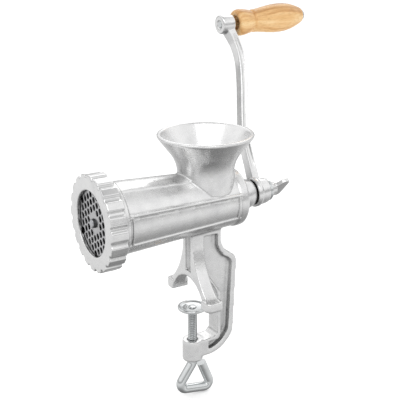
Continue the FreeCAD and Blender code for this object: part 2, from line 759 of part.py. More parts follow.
def arm_outline(body):
    """Side view of the arm, which bends away from the hopper on its way up."""
    near = HUB_FACE + " + 1"
    far = near + " + arm_offset"
    depth = " + arm_depth"
    corners = [
        (near, "4"),
        (near, "arm_throw * 0.32"),
        (near + " + arm_offset * 0.3", "arm_throw * 0.45"),
        (near + " + arm_offset * 0.75", "arm_throw * 0.64"),
        (far, "arm_throw * 0.77"),
        (far + " - 1.5", "arm_throw * 0.87"),
        ("grip_boss_face + 3", "arm_throw"),
    ]
    back = [(corner[0] + depth, corner[1]) for corner in reversed(corners)]
    return outline(body, "arm_outline", "YZ_Plane", corners + back)


GRIP_AXIS = {"shift": {"x": "grip_boss_face", "y": "arm_throw"}, "lean": "grip_tilt"}


def crank_arm():
    body = new_body("crank_arm", crank_frame)
    turned(body, "hub", [
        (HUB_FACE, "0"),
        (HUB_FACE, "hub_front_radius"),
        (HUB_FACE + " + 4", "hub_front_radius"),
        (HUB_FACE + " + 6", "hub_front_radius - 1.2"),
        (HUB_BACK, "hub_rear_radius"),
        (HUB_BACK, "0"),
    ])
    padded(body, "arm", arm_outline(body), "arm_width")
    turned(body, "grip_boss", [
        ("0", "0"),
        ("0", "grip_boss_radius"),
        ("grip_boss_length", "grip_boss_radius"),
        ("grip_boss_length", "0"),
    ], **GRIP_AXIS)
    hole = outline(body, "socket_outline", "XZ_Plane", square("tail_square / 2 + slide_fit"),
                   {"z": "-(%s) + 1" % HUB_FACE})
    padded(body, "socket", hole, "hub_length + 2", cut=True, midplane=False)
    turned(body, "pin_hole", [
        ("-1", "0"),
        ("-1", "grip_pin_radius + press_fit"),
        ("grip_boss_length + 1", "grip_pin_radius + press_fit"),
        ("grip_boss_length + 1", "0"),
    ], cut=True, **GRIP_AXIS)
    return body


WOOD_START = "grip_boss_length + grip_gap"
WOOD_END = WOOD_START + " + grip_length"
CAP_FACE = WOOD_END + " + face_gap"
HEAD_FACE = CAP_FACE + " + cap_thickness + face_gap"


def grip():
    """Turned beech handle that spins on its bolt."""
    body = new_body("grip", crank_frame)
    belly = WOOD_START + " + grip_length * 0.64"
    turned(body, "wood", [
        (WOOD_START + " + grip_recess_depth", "grip_pin_radius + running_fit"),
        (WOOD_START + " + grip_recess_depth", "grip_recess_radius"),
        (WOOD_START, "grip_recess_radius + 1"),
        (WOOD_START, "grip_flare_radius - 2.4"),
        (WOOD_START + " + 2.5", "grip_flare_radius"),
        (WOOD_START + " + 8", "grip_flare_radius - 0.4"),
        (WOOD_START + " + 14", "grip_neck_radius + 0.7"),
        (WOOD_START + " + 17", "grip_neck_radius"),
        (WOOD_START + " + 22", "grip_neck_radius + 0.5", "105", -1),
        (belly, "grip_belly_radius", "48", -1),
        (WOOD_END, "grip_tip_radius"),
        (WOOD_END, "grip_pin_radius + running_fit"),
    ], **GRIP_AXIS)
    return body


def grip_cap():
    """Washer between the end of the wood and the head of the bolt."""
    body = new_body("grip_cap", crank_frame)
    turned(body, "cap", [
        (CAP_FACE, "grip_pin_radius + running_fit"),
        (CAP_FACE, "cap_radius"),
        (CAP_FACE + " + cap_thickness", "cap_radius - 0.4"),
        (CAP_FACE + " + cap_thickness", "grip_pin_radius + running_fit"),
    ], **GRIP_AXIS)
    return body


def grip_bolt():
    """Pin riveted into the crank, with a round head at the far end."""
    body = new_body("grip_bolt", crank_frame)
    turned(body, "pin", [
        ("0.3", "0"),
        ("0.3", "grip_pin_radius"),
        (HEAD_FACE, "grip_pin_radius"),
        (HEAD_FACE, "cap_radius - 0.9"),
        (HEAD_FACE + " + 0.8", "cap_radius - 1"),
        (HEAD_FACE + " + 2", "cap_radius - 3"),
        (HEAD_FACE + " + 2.2", "0"),
    ], **GRIP_AXIS)
    return body


def wing_screw():
    """Thumb screw with a flat wing across its end."""
    body = new_body("wing_screw", wing_frame)
    collar_back = WING_SEAT + " + 1.6 + wing_collar_length"
    turned(body, "screw", [
        (HUB_BACK + " - wing_shank", "0"),
        (HUB_BACK + " - wing_shank", "tail_thread - 0.8"),
        (HUB_BACK + " - wing_shank + 0.8", "tail_thread"),
        (WING_SEAT, "tail_thread"),
        (WING_SEAT, "wing_seat_radius"),
        (WING_SEAT + " + 1.6", "wing_seat_radius - 0.4"),
        (WING_SEAT + " + 1.6", "wing_collar_radius"),
        (collar_back, "wing_collar_radius - 1.2"),
        (collar_back, "0"),
    ])
    half = [
        (WING_SEAT + " + 3", "wing_collar_radius - 1"),
        (WING_SEAT + " + wing_length * 0.35", "wing_collar_radius"),
        (WING_SEAT + " + wing_length * 0.58", "wing_reach - 1.6"),
        (WING_SEAT + " + wing_length * 0.72", "wing_reach"),
        (WING_SEAT + " + wing_length * 0.86", "wing_reach"),
        (WING_SEAT + " + wing_length * 0.97", "wing_reach - 1.6"),
        (WING_SEAT + " + wing_length", "wing_reach - 4"),
    ]
    other = [(place, "-(%s)" % reach) for place, reach in reversed(half)]
    sketch = outline(body, "wing_outline", "YZ_Plane", half + other)
    padded(body, "wing", sketch, "wing_thickness")
    return body


# ---------------------------------------------------------------- clamp

PAD_TOP = "-pad_drop"
PAD_BASE = "-pad_drop - pad_height"
ROD_TOP = "-pad_drop - pad_height - face_gap"


def clamp_pad():
    """Dished disc that the clamp screw presses against the underside of the table."""
    body = new_body("clamp_pad", clamp_frame)
    turned(body, "disc", [
        ("pad_spigot + slide_fit", PAD_BASE),
        ("rod_radius + 2", PAD_BASE),
        ("pad_radius - 0.5", "-pad_drop - 2.6"),
        ("pad_radius", "-pad_drop - 2"),
        ("pad_radius", "-pad_drop - 0.6"),
        ("pad_radius - 0.6", PAD_TOP),
        ("pad_radius - 2", PAD_TOP),
        ("pad_spigot + 3", "-pad_drop - pad_dish"),
        ("pad_spigot + slide_fit", "-pad_drop - pad_dish"),
    ], axis="V_Axis")
    return body


def rounded_path(body, name, points, radii):
    """Open path of straight runs in the YZ plane, each inner corner rounded to its radius."""
    sketch = attach(body, name, "YZ_Plane", None)
    here = points[0]
    for corner, after, radius in zip(points[1:], points[2:], radii):
        inward = (here - corner).normalize()
        outward = (after - corner).normalize()
        half = inward.getAngle(outward) / 2
        reach = radius / math.tan(half)
        first = corner + inward * reach
        last = corner + outward * reach
        sketch.addGeometry(Part.LineSegment(here, first))
        side = 1 if inward.cross(outward).z < 0 else -1
        sketch.addGeometry(arc_between(first, last, radius, side))
        here = last
    sketch.addGeometry(Part.LineSegment(here, points[-1]))
    doc.recompute()
    return sketch


def clamp_screw():
    """Round bar with a riveted end on top and its lower end bent into an eye."""
    body = new_body("clamp_screw", clamp_frame)
    top = size(ROD_TOP)
    neck = -size("boss_top + boss_length + eye_neck")
    low = -size("eye_drop") + size("rod_radius")
    near = -size("eye_near")
    far = size("eye_far")
    path = rounded_path(body, "bar_path", [
        Vector(0, top, 0),
        Vector(0, neck, 0),
        Vector(near, low + 4.5, 0),
        Vector(far, low - 1.5, 0),
        Vector(far * 0.45, neck - 2.7, 0),
    ], [8, 6, 5])
    ring = attach(body, "bar_section", "XY_Plane", {"z": ROD_TOP})
    add_circle(ring, "bar", "0", "0", "rod_radius")
    bar = body.newObject("PartDesign::AdditivePipe", "bar")
    bar.Profile = ring
    bar.Spine = path
    checked(body, bar, False)
    turned(body, "rivet", [
        ("0", ROD_TOP + " - 1"),
        ("pad_spigot", ROD_TOP + " - 1"),
        ("pad_spigot", "-pad_drop - pad_dish + face_gap"),
        ("pad_spigot + 1.6", "-pad_drop - pad_dish + face_gap"),
        ("pad_spigot", "-pad_drop - 0.2"),
        ("0", "-pad_drop"),
    ], axis="V_Axis")
    return body


# ---------------------------------------------------------------- build and write

PIECES = [
    body_casting(),
    plate_key(),
    ring_shape("rear_bush", barrel_frame, CHAMBER_END + " + 0.2", "neck_end",
               "bush_radius - bush_wall", "bush_radius - press_fit"),
    auger(),
    auger_stud(),
    ring_shape("thrust_washer", barrel_frame, THRUST_FACE, THRUST_FACE + " + thrust_thickness",
               "bush_radius - bush_wall + slide_fit", "thrust_radius"),
    knife(),
    hole_plate(),
    ring_nut(),
    crank_arm(),
    ring_shape("crank_washer", barrel_frame, HUB_BACK + " + face_gap", WASHER_BACK,
               "tail_thread + slide_fit", "washer_radius"),
    wing_screw(),
    grip(),
    grip_cap(),
    grip_bolt(),
    clamp_pad(),
    clamp_screw(),
]
doc.recompute()

for item in doc.Objects:
    if any(word in ("Invalid", "Error") for word in item.State):
        raise RuntimeError("%s failed: %s" % (item.Label, item.State))
for piece in PIECES:
    if piece.Shape.isNull() or not piece.Shape.isValid():
        raise RuntimeError("%s has no valid shape" % piece.Label)

os.makedirs("parts", exist_ok=True)
for piece in PIECES:
    piece.Shape.exportStep("parts/%s.step" % piece.Label)
    print("%-16s %9.1f mm3, %d solid" % (piece.Label, piece.Shape.Volume, len(piece.Shape.Solids)))
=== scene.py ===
import bmesh
import bpy
import math
from mathutils import Matrix, Vector


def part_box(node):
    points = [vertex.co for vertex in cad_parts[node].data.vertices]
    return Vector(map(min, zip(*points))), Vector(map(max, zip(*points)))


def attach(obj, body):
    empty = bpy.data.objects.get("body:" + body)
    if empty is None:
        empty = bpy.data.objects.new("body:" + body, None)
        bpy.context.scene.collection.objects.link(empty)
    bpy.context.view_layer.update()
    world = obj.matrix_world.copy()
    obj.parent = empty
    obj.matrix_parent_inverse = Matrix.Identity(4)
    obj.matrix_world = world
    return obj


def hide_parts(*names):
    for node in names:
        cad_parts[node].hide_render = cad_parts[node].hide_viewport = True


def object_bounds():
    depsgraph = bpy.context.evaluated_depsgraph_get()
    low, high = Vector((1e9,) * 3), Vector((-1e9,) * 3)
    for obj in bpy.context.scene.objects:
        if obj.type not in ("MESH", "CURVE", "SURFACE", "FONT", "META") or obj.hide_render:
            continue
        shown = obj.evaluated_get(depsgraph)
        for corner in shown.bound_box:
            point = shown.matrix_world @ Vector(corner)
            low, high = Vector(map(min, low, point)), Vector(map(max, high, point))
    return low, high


# Hand crank meat grinder. Sizes and places below are in millimetres; the scene itself is in metres.

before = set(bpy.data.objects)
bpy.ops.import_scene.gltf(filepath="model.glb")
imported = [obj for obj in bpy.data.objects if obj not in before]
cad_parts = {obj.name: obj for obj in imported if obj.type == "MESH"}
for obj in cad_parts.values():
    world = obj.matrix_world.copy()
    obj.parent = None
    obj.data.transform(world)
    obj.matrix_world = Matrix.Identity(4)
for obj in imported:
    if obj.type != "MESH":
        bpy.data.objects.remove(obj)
cad_low, cad_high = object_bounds()

MM = 0.001
AXIS_HEIGHT = 88.0          # barrel axis above the table top
FACE_TO_SCREW = 95.0        # ring nut's front face to the clamp screw's axis
CRANK_TILT = math.radians(25)
CRANK_THROW = 155.0         # barrel axis to the grip's axis
GRIP_BOSS_FACE = 163.1      # ring nut's front face to the front of the boss at the end of the arm
GRIP_TILT = math.radians(1.9)

# Frames of the pieces. In BARREL and CRANK, y runs to the rear from the ring nut's front face and
# z is the distance from the barrel axis. In GRIP, y runs along the grip from the front of its boss.
# In CLAMP, y runs up the clamp screw from the table top.
BARREL = Matrix.Translation((0, -FACE_TO_SCREW, AXIS_HEIGHT))
CRANK = BARREL @ Matrix.Rotation(-CRANK_TILT, 4, "Y")
GRIP = CRANK @ Matrix.Translation((0, GRIP_BOSS_FACE, CRANK_THROW)) @ Matrix.Rotation(GRIP_TILT, 4, "X")
CLAMP = Matrix.Rotation(math.radians(90), 4, "X")


# ---------------------------------------------------------------- mesh helpers

def rounded(points, radius, steps=4):
    """Round the corners of an open (u, v) line; a corner may bring its own radius."""
    line = [Vector(points[0][:2])]
    for before, corner, after in zip(points, points[1:], points[2:]):
        here = Vector(corner[:2])
        inward = Vector(before[:2]) - here
        outward = Vector(after[:2]) - here
        wish = corner[2] if len(corner) > 2 else radius
        half = inward.angle(outward) / 2
        if wish <= 0 or half > math.radians(88):
            line.append(here)
            continue
        reach = min(wish / math.tan(half), inward.length * 0.48, outward.length * 0.48)
        first = here + inward.normalized() * reach
        last = here + outward.normalized() * reach
        for step in range(steps + 1):
            part = step / steps
            line.append(first.lerp(here, part).lerp(here.lerp(last, part), part))
    line.append(Vector(points[-1][:2]))
    return line


def add_lathe(mesh, profile, place, steps=96):
    """Turn a profile of (along, radius) about the local y axis."""
    rings = []
    for along, radius in profile:
        if radius < 1e-4:
            rings.append([mesh.verts.new(place @ Vector((0, along, 0)))])
            continue
        ring = []
        for step in range(steps):
            angle = 2 * math.pi * step / steps
            ring.append(mesh.verts.new(
                place @ Vector((radius * math.sin(angle), along, radius * math.cos(angle)))))
        rings.append(ring)
    for first, second in zip(rings, rings[1:]):
        for step in range(steps):
            after = (step + 1) % steps
            corners = [first[step % len(first)], first[after % len(first)],
                       second[after % len(second)], second[step % len(second)]]
            corners = list(dict.fromkeys(corners))
            if len(corners) > 2:
                mesh.faces.new(corners)


def join_rings(mesh, rings):
    """Closed bar through rings that have the same number of points."""
    for first, second in zip(rings, rings[1:]):
        for step in range(len(first)):
            after = (step + 1) % len(first)
            mesh.faces.new((first[step], first[after], second[after], second[step]))
    mesh.faces.new(rings[0])
    mesh.faces.new(rings[-1])


def join_rows(mesh, rows):
    """Open sheet through rows that have the same number of points."""
    for first, second in zip(rows, rows[1:]):
        for point in range(len(first) - 1):
            mesh.faces.new((first[point], first[point + 1], second[point + 1], second[point]))


def add_tube(mesh, path, radius, steps=40):
    """Round bar along a path in the YZ plane, with closed ends."""
    side = Vector((1, 0, 0))
    rings = []
    for number, point in enumerate(path):
        before = path[max(number - 1, 0)]
        after = path[min(number + 1, len(path) - 1)]
        up = side.cross((after - before).normalized())
        ring = []
        for step in range(steps):
            angle = 2 * math.pi * step / steps
            ring.append(mesh.verts.new(point + (side * math.cos(angle) + up * math.sin(angle)) * radius))
        rings.append(ring)
    join_rings(mesh, rings)


def add_thread(mesh, start, end, crest, root, pitch, place, steps=36, rows=8):
    """Helical thread about the local y axis, with flat crests and roots, faded out at both ends."""
    slope = 1.7
    root_share = 0.35
    count = int((end - start) / pitch * rows)
    rings = []
    for row in range(count + 1):
        along = start + (end - start) * row / count
        fade = min(1.0, (along - start) / pitch, (end - along) / pitch)
        ring = []
        for step in range(steps):
            turn = step / steps
            phase = (along / pitch - turn) % 1.0
            height = min(1.0, max(0.0, slope * abs(2 * phase - 1) - root_share))
            radius = crest - (crest - root) * (1 - height) * fade
            angle = 2 * math.pi * turn
            ring.append(mesh.verts.new(
                place @ Vector((radius * math.sin(angle), along, radius * math.cos(angle)))))
        rings.append(ring)
    join_rings(mesh, rings)


def in_metres(mesh):
    """Scale a bmesh from millimetres to metres."""
    mesh.transform(Matrix.Scale(MM, 4))
    return mesh


def finished(mesh, name):
    """Turn a bmesh in millimetres into an object in metres with smooth faces."""
    bmesh.ops.recalc_face_normals(mesh, faces=mesh.faces)
    data = bpy.data.meshes.new(name)
    mesh.to_mesh(data)
    mesh.free()
    data.transform(Matrix.Scale(MM, 4))
    return linked(data, name, 35)


def turned_piece(name, profile, place, steps=96):
    """Piece turned from one profile about the local y axis."""
    mesh = bmesh.new()
    add_lathe(mesh, profile, place, steps)
    bmesh.ops.remove_doubles(mesh, verts=mesh.verts, dist=1e-5)
    return finished(mesh, name)


def closed(profile):
    """The profile with its first point repeated at its end."""
    return profile + [profile[0]]


def linked(data, name, sharp):
    """Put a mesh in the scene, smooth, with edges kept above an angle in degrees if one is given."""
    data.polygons.foreach_set("use_smooth", [True] * len(data.polygons))
    if sharp:
        data.set_sharp_from_angle(angle=math.radians(sharp))
    thing = bpy.data.objects.new(name, data)
    bpy.context.scene.collection.objects.link(thing)
    return thing


def node_mesh(node):
    """The welded mesh of a CAD node, in metres."""
    mesh = bmesh.new()
    mesh.from_mesh(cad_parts[node].data)
    bmesh.ops.remove_doubles(mesh, verts=mesh.verts, dist=1e-6)
    return mesh


def applied(thing, sharp=0):
    """Replace an object by its evaluated mesh."""
    graph = bpy.context.evaluated_depsgraph_get()
    data = bpy.data.meshes.new_from_object(thing.evaluated_get(graph))
    name = thing.name
    bpy.data.objects.remove(thing)
    data.name = name
    return linked(data, name, sharp)


def cast_piece(name, mesh, voxel, rounds):
    """Melt a bmesh in metres into one skin with the soft edges of a casting."""
    data = bpy.data.meshes.new(name)
    mesh.to_mesh(data)
    mesh.free()
    thing = linked(data, name, 0)
    remesh = thing.modifiers.new("skin", "REMESH")
    remesh.mode = "VOXEL"
    remesh.voxel_size = voxel * MM
    remesh.use_smooth_shade = True
    smooth = thing.modifiers.new("soften", "SMOOTH")
    smooth.factor = 0.5
    smooth.iterations = rounds
    return applied(thing)


def bevelled(name, node, width):
    """Copy of a CAD node with its sharp edges broken."""
    mesh = node_mesh(node)
    bmesh.ops.dissolve_limit(mesh, angle_limit=math.radians(0.5), verts=mesh.verts, edges=mesh.edges)
    data = bpy.data.meshes.new(name)
    mesh.to_mesh(data)
    mesh.free()
    thing = linked(data, name, 0)
    bevel = thing.modifiers.new("edges", "BEVEL")
    bevel.width = width * MM
    bevel.segments = 2
    bevel.limit_method = "ANGLE"
    bevel.angle_limit = math.radians(40)
    return applied(thing, 30)


def finish_piece(thing, body, nodes, material):
    """Give a piece its material and body, and hide the CAD nodes it stands in for."""
    thing.data.materials.clear()
    thing.data.materials.append(material)
    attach(thing, body)
    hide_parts(*nodes)


# ---------------------------------------------------------------- material helpers

def new_material(name):
    """A material, its node tree and its shader."""
    material = bpy.data.materials.new(name)
    material.use_nodes = True
    tree = material.node_tree
    return material, tree, tree.nodes["Principled BSDF"]


def place_coordinates(tree, stretch=(1, 1, 1), turn=(0, 0, 0)):
    """Object coordinates in metres, stretched and turned."""
    source = tree.nodes.new("ShaderNodeTexCoord")
    mapping = tree.nodes.new("ShaderNodeMapping")
    mapping.inputs["Scale"].default_value = stretch
    mapping.inputs["Rotation"].default_value = turn
    tree.links.new(source.outputs["Object"], mapping.inputs["Vector"])
    return mapping.outputs["Vector"]


def noise(tree, vector, scale, detail=3.0, rough=0.5, distortion=0.0):
    """Cloudy noise; scale is in features per metre."""
    node = tree.nodes.new("ShaderNodeTexNoise")
    node.inputs["Scale"].default_value = scale
    node.inputs["Detail"].default_value = detail
    node.inputs["Roughness"].default_value = rough
    node.inputs["Distortion"].default_value = distortion
    tree.links.new(vector, node.inputs["Vector"])
    return node.outputs["Fac"]


def ramp(tree, value, stops):
    """Colours or single greys at positions along a value."""
    node = tree.nodes.new("ShaderNodeValToRGB")
    elements = node.color_ramp.elements
    while len(elements) < len(stops):
        elements.new(0.5)
    for element, (position, colour) in zip(elements, stops):
        element.position = position
        element.color = (*colour, 1) if len(colour) == 3 else (colour[0],) * 3 + (1,)
    tree.links.new(value, node.inputs["Fac"])
    return node.outputs["Color"]


def remap(tree, value, low, high, start=0.3, end=0.7):
    """Stretch the range from start to end over the range from low to high."""
    node = tree.nodes.new("ShaderNodeMapRange")
    node.inputs["From Min"].default_value = start
    node.inputs["From Max"].default_value = end
    node.inputs["To Min"].default_value = low
    node.inputs["To Max"].default_value = high
    tree.links.new(value, node.inputs["Value"])
    return node.outputs["Result"]


def bump(tree, height, strength, distance, under=None):
    """Surface relief, on top of another relief if one is given."""
    node = tree.nodes.new("ShaderNodeBump")
    node.inputs["Strength"].default_value = strength
    node.inputs["Distance"].default_value = distance
    tree.links.new(height, node.inputs["Height"])
    if under:
        tree.links.new(under, node.inputs["Normal"])
    return node.outputs["Normal"]


def multiply(tree, first, second, amount=1.0):
    """Product of two colours, mixed in by an amount."""
    node = tree.nodes.new("ShaderNodeMix")
    node.data_type = "RGBA"
    node.blend_type = "MULTIPLY"
    node.inputs["Factor"].default_value = amount
    tree.links.new(first, node.inputs["A"])
    tree.links.new(second, node.inputs["B"])
    return node.outputs["Result"]


def painted_hollow_shade(tree, reach, stops):
    """Painted shade: a grey that darkens the colour where the surface closes in on itself."""
    node = tree.nodes.new("ShaderNodeAmbientOcclusion")
    node.inputs["Distance"].default_value = reach
    node.samples = 8
    return ramp(tree, node.outputs["AO"], [(place, (grey,)) for place, grey in stops])


def painted_crevice_shade(tree):
    """Painted shade: a grey that is dark in the corners of the casting and brightest along its rounded edges.
    """
    shape = tree.nodes.new("ShaderNodeNewGeometry")
    return ramp(tree, shape.outputs["Pointiness"], [(0.42, (0.60,)), (0.49, (0.94,)), (0.56, (1.0,))])


def cast_metal(name, tone, ripple, grain, gloss):
    """Tinned casting: bright, softly rippled skin with a fine grain and grey patches, darkened with painted
    shade in its hollows and corners.
    """
    material, tree, shader = new_material(name)
    place = place_coordinates(tree)
    patches = noise(tree, place, 70, 4, 0.55)
    ripples = noise(tree, place, 190, 3, 0.5, 0.4)
    grains = noise(tree, place, 900, 4, 0.6)
    colour = ramp(tree, patches, [
        (0.30, (tone * 0.92, tone * 0.92, tone * 0.925)),
        (0.50, (tone, tone, tone)),
        (0.72, (tone * 1.04, tone * 1.04, tone * 1.035)),
    ])
    # painted shade: the colour is darkened where the surface closes in and in the corners of the casting
    colour = multiply(tree, colour, painted_hollow_shade(tree, 0.026, [(0.0, 0.20), (0.4, 0.58), (0.82, 1.0)]))
    tree.links.new(multiply(tree, colour, painted_crevice_shade(tree)), shader.inputs["Base Color"])
    tree.links.new(remap(tree, ripples, gloss[0], gloss[1]), shader.inputs["Roughness"])
    skin = bump(tree, ripples, ripple, 0.0012)
    tree.links.new(bump(tree, grains, grain, 0.00025, skin), shader.inputs["Normal"])
    shader.inputs["Metallic"].default_value = 1.0
    return material


def turned_metal(name, colour, gloss, stretch, scratch, reach, stops):
    """Machined or plated steel with fine marks and painted shade in its hollows; stretch sets the direction
    of the marks, reach and stops the painted shade.
    """
    material, tree, shader = new_material(name)
    marks = noise(tree, place_coordinates(tree, stretch), 900, 4, 0.6)
    cloud = noise(tree, place_coordinates(tree), 130, 3, 0.5)
    tint = ramp(tree, cloud, [
        (0.3, tuple(part * 0.88 for part in colour)),
        (0.7, colour),
    ])
    # painted shade: the tint is darkened where the surface closes in on itself
    tree.links.new(multiply(tree, tint, painted_hollow_shade(tree, reach, stops)), shader.inputs["Base Color"])
    tree.links.new(remap(tree, cloud, gloss[0], gloss[1]), shader.inputs["Roughness"])
    tree.links.new(bump(tree, marks, scratch, 0.0002), shader.inputs["Normal"])
    shader.inputs["Metallic"].default_value = 1.0
    return material


def wood(name):
    """Lacquered beech with its grain along the handle."""
    material, tree, shader = new_material(name)
    along = place_coordinates(tree, (1.0, 0.045, 1.0), (math.radians(2), 0, 0))
    bands = noise(tree, along, 150, 5, 0.6, 0.6)
    pores = noise(tree, place_coordinates(tree, (1.0, 0.09, 1.0)), 1500, 3, 0.6)
    warm = ramp(tree, bands, [
        (0.30, (0.50, 0.225, 0.066)),
        (0.43, (0.74, 0.405, 0.150)),
        (0.55, (0.88, 0.550, 0.240)),
        (0.72, (0.97, 0.690, 0.360)),
    ])
    flecks = ramp(tree, pores, [(0.36, (0.80, 0.72, 0.62)), (0.47, (1.0, 1.0, 1.0))])
    tree.links.new(multiply(tree, warm, flecks, 0.75), shader.inputs["Base Color"])
    tree.links.new(remap(tree, bands, 0.34, 0.48), shader.inputs["Roughness"])
    tree.links.new(bump(tree, pores, 0.10, 0.0002), shader.inputs["Normal"])
    shader.inputs["Coat Weight"].default_value = 0.35
    shader.inputs["Coat Roughness"].default_value = 0.22
    return material


def pressed(name, colour, metallic):
    """Pressed fibre or sintered bronze: matt with a fine grain."""
    material, tree, shader = new_material(name)
    grain = noise(tree, place_coordinates(tree), 1400, 4, 0.65)
    tint = ramp(tree, grain, [
        (0.3, tuple(part * 0.7 for part in colour)),
        (0.7, colour),
    ])
    tree.links.new(tint, shader.inputs["Base Color"])
    tree.links.new(remap(tree, grain, 0.45, 0.7), shader.inputs["Roughness"])
    tree.links.new(bump(tree, grain, 0.2, 0.0002), shader.inputs["Normal"])
    shader.inputs["Metallic"].default_value = metallic
    return material


# every metal below gets painted shade in its hollows; the last two numbers of the steels and the zinc set its
# reach and greys
CAST = cast_metal("tinned_casting", 0.91, 0.12, 0.26, (0.20, 0.34))
CAST_FINE = cast_metal("tinned_casting_fine", 0.90, 0.12, 0.24, (0.16, 0.28))
PLATE_STEEL = turned_metal("plate_steel", (0.62, 0.62, 0.63), (0.26, 0.40), (1, 1, 1), 0.12,
                           0.006, [(0.0, 0.0), (0.42, 0.0), (0.62, 1.0)])
STEEL = turned_metal("steel", (0.58, 0.59, 0.61), (0.22, 0.36), (1, 0.15, 1), 0.12,
                     0.05, [(0.0, 0.0), (0.6, 0.3), (0.9, 1.0)])
ZINC = turned_metal("zinc", (0.76, 0.78, 0.785), (0.08, 0.18), (1, 1, 0.3), 0.06,
                    0.0016, [(0.0, 0.12), (0.45, 0.55), (0.9, 1.0)])
BEECH = wood("beech")
BRONZE = pressed("bronze", (0.50, 0.33, 0.15), 1.0)
FIBRE = pressed("fibre", (0.30, 0.10, 0.05), 0.0)


# ---------------------------------------------------------------- casting and ring nut

COLLAR_END = 21.0           # where the taper of the barrel starts
BARREL_END = 138.0
FRONT_RADIUS = 30.5         # outside of the barrel at both ends of the taper
REAR_RADIUS = 24.5
BEAD_START = 24.0           # ends of the beads along the barrel
BEAD_END = 133.0
BEAD_FADE = 1.5             # length over which a bead rises at its ends
BEAD_SINK = 0.35            # edges of a bead below the surface
UPPER_TILT = 20             # beads above and below a panel, degrees above the horizontal
LOWER_TILT = -29


def barrel_radius(along):
    """Outside of the tapered barrel, between the collar and the rear shoulder."""
    return FRONT_RADIUS + (REAR_RADIUS - FRONT_RADIUS) * (along - COLLAR_END) / (BARREL_END - COLLAR_END)


def round_barrel(mesh, reach, along, angle):
    """New point at a distance from the barrel axis and an angle above the horizontal."""
    return mesh.verts.new(BARREL @ Vector((reach * math.cos(angle), along, reach * math.sin(angle))))


def add_bead(mesh, tilt, width, height, steps=60, across=8):
    """Half-round bead along the barrel at an angle above the horizontal."""
    rows = []
    for step in range(steps + 1):
        along = BEAD_START + (BEAD_END - BEAD_START) * step / steps
        end_distance = min(along - BEAD_START, BEAD_END - along)
        fade = min(1.0, end_distance / BEAD_FADE + 0.05)
        radius = barrel_radius(along)
        row = []
        for point in range(across + 1):
            place = 2 * point / across - 1
            rise = height * math.sqrt(max(0.0, 1 - place * place)) * fade - BEAD_SINK
            row.append(round_barrel(mesh, radius + rise, along, tilt + place * width / 2 / radius))
        rows.append(row)
    join_rows(mesh, rows)


def add_cross_bead(mesh, low, high, along, width, height, steps=40, across=8):
    """Half-round bead round part of the barrel, from one angle to another."""
    rows = []
    for step in range(steps + 1):
        angle = low + (high - low) * step / steps
        row = []
        for point in range(across + 1):
            place = 2 * point / across - 1
            here = along + place * width / 2
            rise = height * math.sqrt(max(0.0, 1 - place * place)) - BEAD_SINK
            row.append(round_barrel(mesh, barrel_radius(here) + rise, here, angle))
        rows.append(row)
    join_rows(mesh, rows)


def body_casting():
    """Casting with its two framed panels, one on each side of the barrel."""
    skin = cast_piece("body_casting_skin", node_mesh("body_casting"), 0.85, 6)
    beads = bmesh.new()
    for far_side in (False, True):
        upper = math.radians(UPPER_TILT)
        lower = math.radians(LOWER_TILT)
        if far_side:
            upper = math.pi - upper
            lower = math.pi - lower
        add_bead(beads, upper, 3.2, 2.5)
        add_bead(beads, lower, 2.2, 1.7)
        add_cross_bead(beads, lower, upper, BEAD_START + 0.5, 2.0, 1.3)
        add_cross_bead(beads, lower, upper, BEAD_END - 4, 2.8, 2.2)
    bmesh.ops.recalc_face_normals(beads, faces=beads.faces)
    in_metres(beads).from_mesh(skin.data)
    beads.to_mesh(skin.data)
    beads.free()
    skin.data.polygons.foreach_set("use_smooth", [True] * len(skin.data.polygons))
    return skin


def ring_nut():
    return cast_piece("ring_nut_skin", node_mesh("ring_nut"), 0.55, 6)


# ---------------------------------------------------------------- crank

# middle of the arm from the hub to the grip's boss: place along the barrel, distance from its axis
ARM_LINE = [
    (161.5, -2), (161.5, 22), (161.7, 49.6), (166, 71),
    (172.6, 98), (176.2, 119), (175.4, 135), (170.3, 153),
]
ARM_HALF_WIDTH = 4.7
ARM_HALF_DEPTH = 3.45
ARM_TROUGH = 1.3            # depth of the trough in each flank
HUB_BORE = 7.2
HUB_FRONT = 157.0
HUB_BACK = 171.5
BOSS_LENGTH = 13.5


def spline(points, steps):
    """Smooth line through (u, v) points."""
    line = []
    ends = [points[0]] + points + [points[-1]]
    for first, second, third, fourth in zip(ends, ends[1:], ends[2:], ends[3:]):
        a, b, c, d = (Vector(point) for point in (first, second, third, fourth))
        for step in range(steps):
            t = step / steps
            line.append(0.5 * ((2 * b) + (c - a) * t + (2 * a - 5 * b + 4 * c - d) * t * t
                               + (3 * b - a - 3 * c + d) * t * t * t))
    line.append(Vector(points[-1]))
    return line


def arm_section(share):
    """Outline of the arm at a share of its length; both ends are thicker and have no trough."""
    near_hub = max(0.0, 1 - share * 5)
    near_grip = max(0.0, share * 8 - 7)
    half = ARM_HALF_WIDTH + 1.3 * near_hub + 1.2 * near_grip
    depth = ARM_HALF_DEPTH + 0.6 * near_grip
    floor_half = half - ARM_TROUGH * min(1.0, max(0.0, (share - 0.12) * 12), max(0.0, (0.93 - share) * 12))
    return [
        (-half, -depth),
        (half, -depth),
        (half, -depth * 0.5),
        (floor_half, -depth * 0.3),
        (floor_half, depth * 0.5),
        (half, depth * 0.68),
        (half, depth),
        (-half, depth),
        (-half, depth * 0.68),
        (-floor_half, depth * 0.5),
        (-floor_half, -depth * 0.3),
        (-half, -depth * 0.5),
    ]


